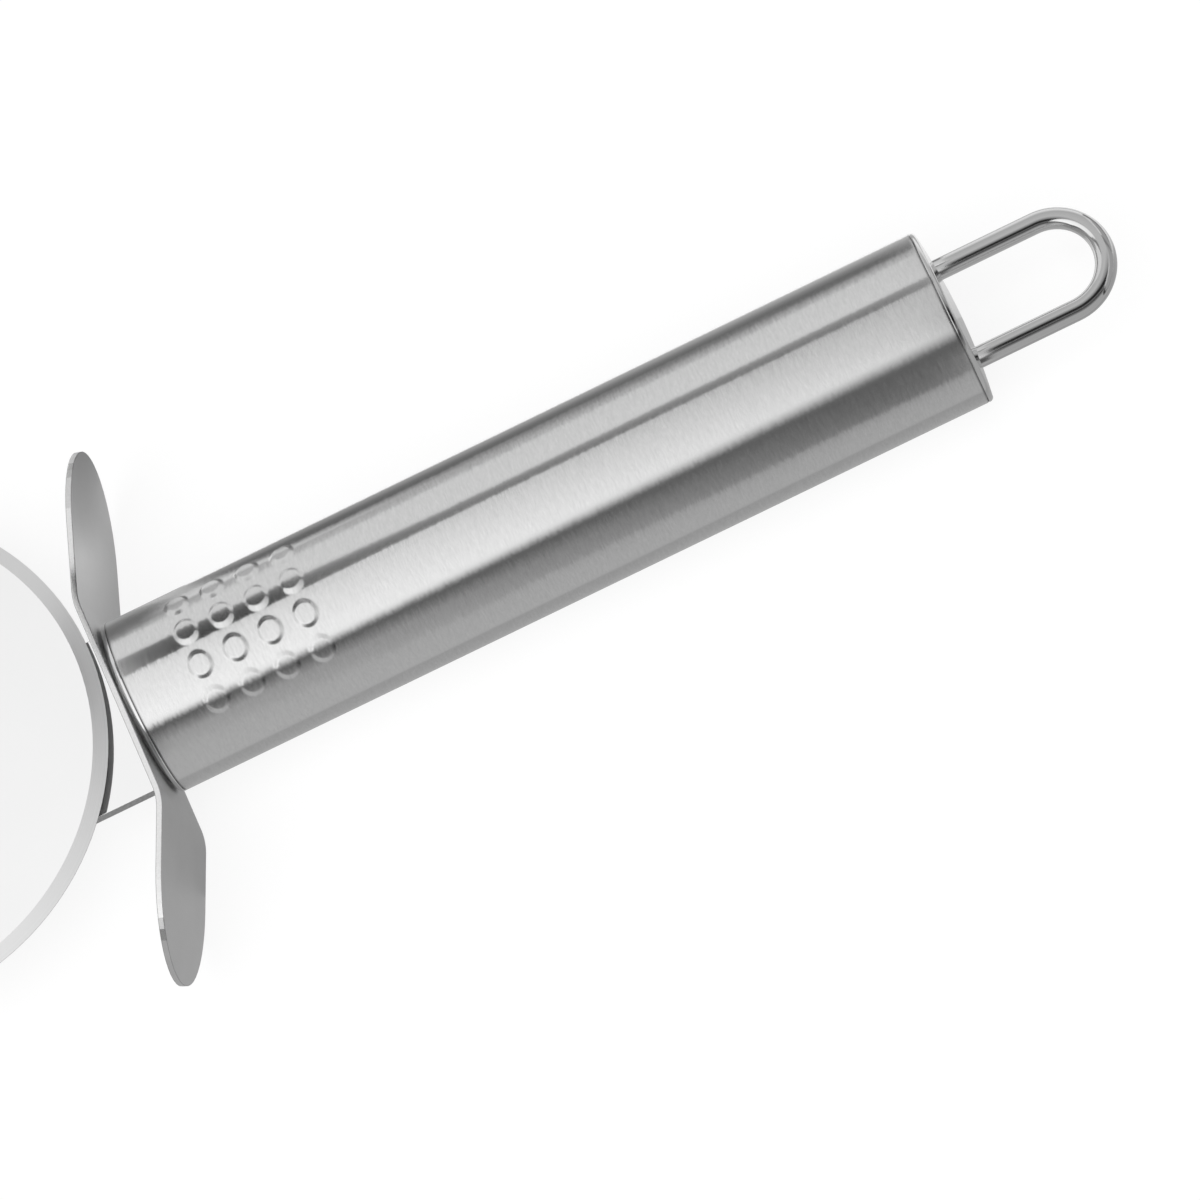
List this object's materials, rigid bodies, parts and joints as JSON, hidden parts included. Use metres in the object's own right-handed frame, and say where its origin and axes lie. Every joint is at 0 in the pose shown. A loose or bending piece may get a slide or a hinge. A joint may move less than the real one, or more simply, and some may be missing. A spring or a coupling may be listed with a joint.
{
  "type": "pizza wheel",
  "caption": "Round bevelled cutting wheel that spins on a rivet, on a flat bracket with a bent finger guard, a tubular handle with raised grip dots and a wire hang loop.",
  "frame": {"origin": "middle of the handle tube, on its axis", "axes": "+X along the handle towards the hang loop, +Z along the wheel's axle towards the rivet's front head, +Y across the handle in the plane of the wheel, towards the side that the wheel is set over"},
  "size_m": [0.2193, 0.0835, 0.0253],
  "materials": {
    "brushed_tube": "satin, brushed round the tube",
    "polished_caps": "polished",
    "polished_wire": "polished wire",
    "inner_steel": "plain sheet, hidden",
    "satin_guard": "fine satin",
    "mirror_plate": "mirror polished",
    "ground_blade": "mirror polished, satin ground bevel",
    "bush_brass": "turned"
  },
  "bodies": {
    "handle": {"handle_tube": "brushed_tube", "front_cap": "polished_caps", "rear_cap": "polished_caps", "hang_loop": "polished_wire", "loop_plate": "inner_steel", "finger_guard": "satin_guard", "wheel_bracket": "mirror_plate", "tang_plate": "inner_steel", "tang_pin": "inner_steel", "spacer_washer": "polished_caps", "head_washer": "polished_caps", "axle_rivet": "polished_caps"},
    "wheel": {"cutting_wheel": "ground_blade", "wheel_bush": "bush_brass"}
  },
  "joints": [
    {"name": "wheel_spin", "type": "hinge", "parent": "handle", "child": "wheel", "pos_m": [-0.0995, 0.01, 0.00245], "axis": [0, 0, 1], "continuous": true}
  ]
}
